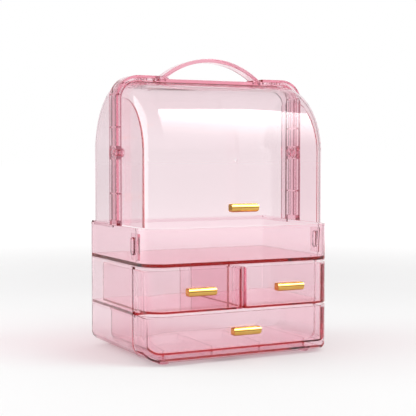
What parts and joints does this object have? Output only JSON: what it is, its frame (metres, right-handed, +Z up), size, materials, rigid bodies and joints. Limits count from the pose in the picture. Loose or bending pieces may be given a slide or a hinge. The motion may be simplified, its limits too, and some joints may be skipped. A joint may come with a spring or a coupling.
{
  "type": "makeup organizer",
  "caption": "Clear plastic makeup organizer with a flip-up dust hood, carrying frame and handle, fenced tray and drawers with bar pulls.",
  "frame": {"origin": "on the floor, under the middle of the object's overall width and depth", "axes": "+Z up, the drawer fronts and the hood front face -Y, +X to the right seen from the front"},
  "size_m": [0.286, 0.2108, 0.401],
  "materials": {
    "clear_pink": "clear pink polystyrene, polished, darker pink where the light runs along an edge",
    "gold": "bright gold plating, mirror smooth",
    "screw_steel": "bright zinc plating"
  },
  "bodies": {
    "case": {"case_shell": "clear_pink", "mid_shelf": "clear_pink", "centre_divider": "clear_pink", "tray": "clear_pink", "fence_front": "clear_pink", "fence_clips": "clear_pink", "rear_hood": "clear_pink", "carry_frame": "clear_pink", "carry_handle": "clear_pink", "hinge_pins": "clear_pink", "feet": "clear_pink"},
    "hood": {"front_hood": "clear_pink", "hood_pull": "gold", "hood_pull_screws": "screw_steel"},
    "upper_left": {"drawer_upper_left": "clear_pink", "upper_left_pull": "gold", "upper_left_pull_screws": "screw_steel"},
    "upper_right": {"drawer_upper_right": "clear_pink", "upper_right_pull": "gold", "upper_right_pull_screws": "screw_steel"},
    "lower": {"drawer_lower": "clear_pink", "lower_pull": "gold", "lower_pull_screws": "screw_steel"}
  },
  "joints": [
    {"name": "hood_hinge", "type": "hinge", "parent": "case", "child": "hood", "pos_m": [0, 0.00655, 0.272], "axis": [-1, 0, 0], "range_deg": [0, 90]},
    {"name": "upper_left_slide", "type": "slide", "parent": "case", "child": "upper_left", "axis": [0, -1, 0], "range_m": [0, 0.09]},
    {"name": "upper_right_slide", "type": "slide", "parent": "case", "child": "upper_right", "axis": [0, -1, 0], "range_m": [0, 0.09]},
    {"name": "lower_slide", "type": "slide", "parent": "case", "child": "lower", "axis": [0, -1, 0], "range_m": [0, 0.065]}
  ]
}
